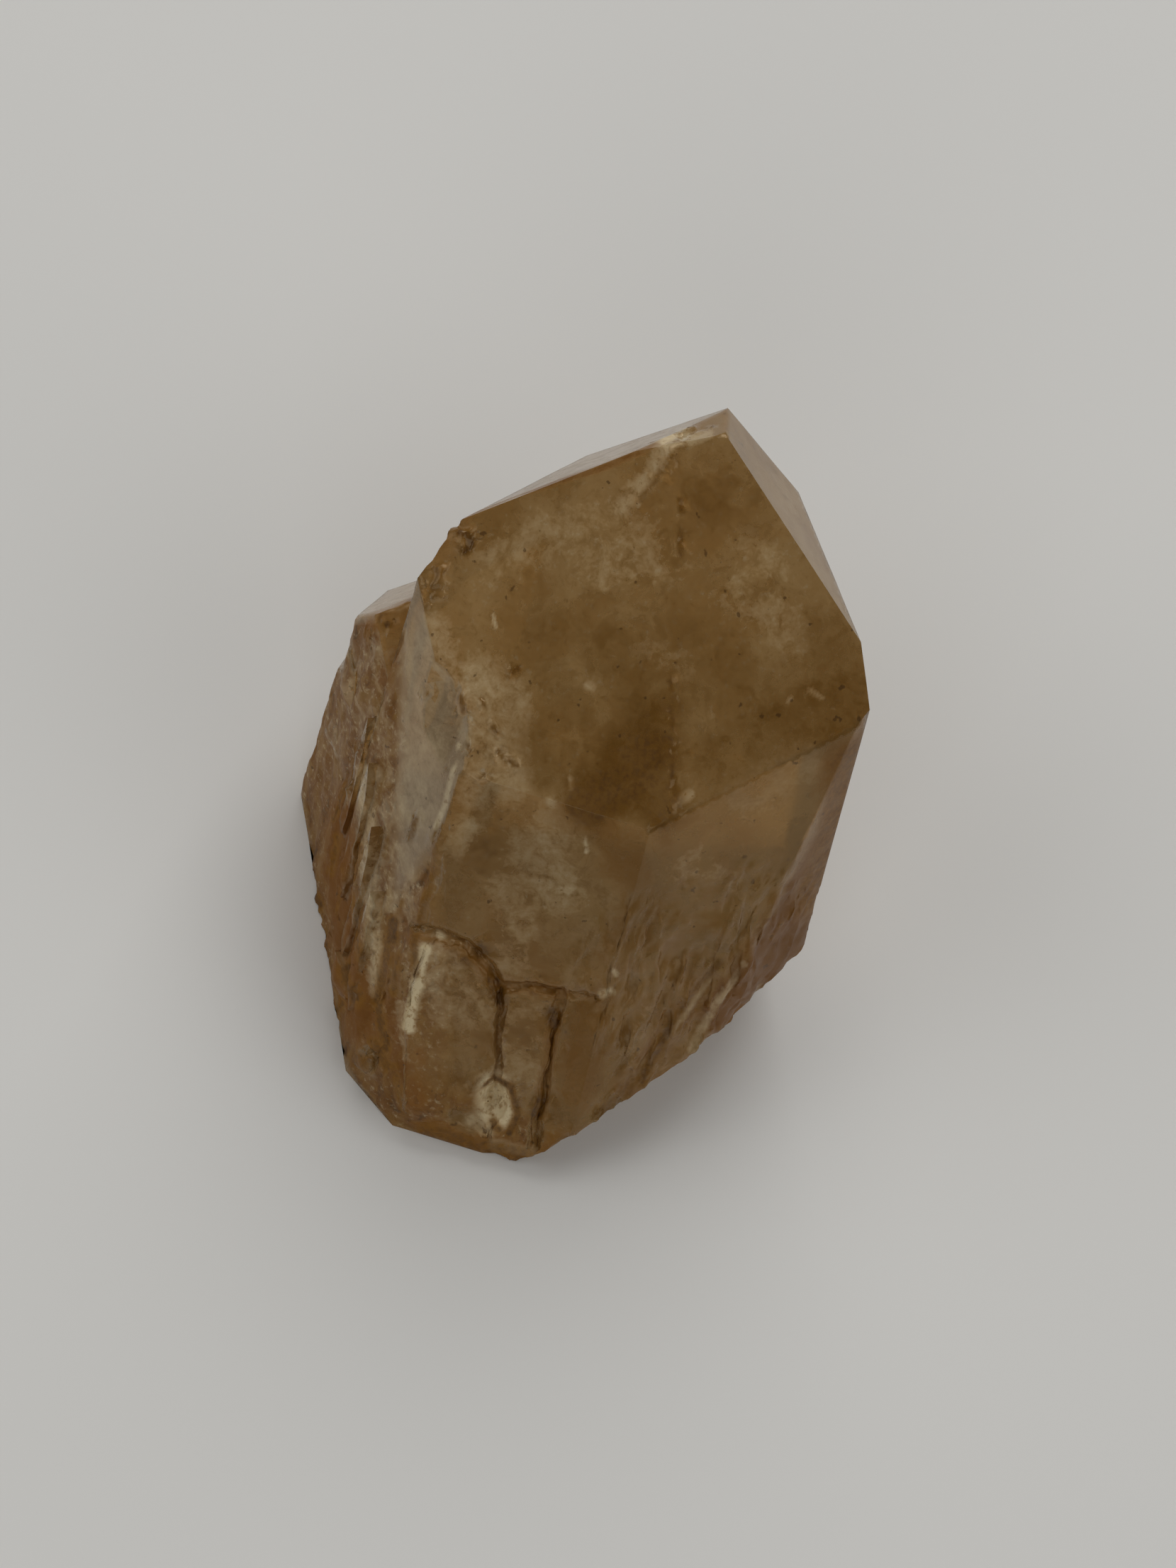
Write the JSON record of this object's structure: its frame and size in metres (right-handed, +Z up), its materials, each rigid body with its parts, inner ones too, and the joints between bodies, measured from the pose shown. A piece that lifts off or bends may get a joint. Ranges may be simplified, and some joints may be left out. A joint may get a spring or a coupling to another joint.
{
  "type": "natural citrine crystal",
  "caption": "Stubby natural citrine point with flat prism and tip faces, a smaller parallel growth on its left side, ledges, cracks and an oblique broken base.",
  "frame": {"origin": "middle of the bounding box, on the surface that the crystal stands on", "axes": "+Z up, -Y towards the front prism face, +X to the right of that face; the crystal's long axis lies in the YZ plane and leans back 37 degrees from +Z towards +Y"},
  "size_m": [0.0408, 0.0538, 0.0372],
  "materials": {
    "citrine": "vitreous, cloudy golden brown"
  },
  "bodies": {
    "root": {"citrine_crystal": "citrine"}
  },
  "joints": []
}
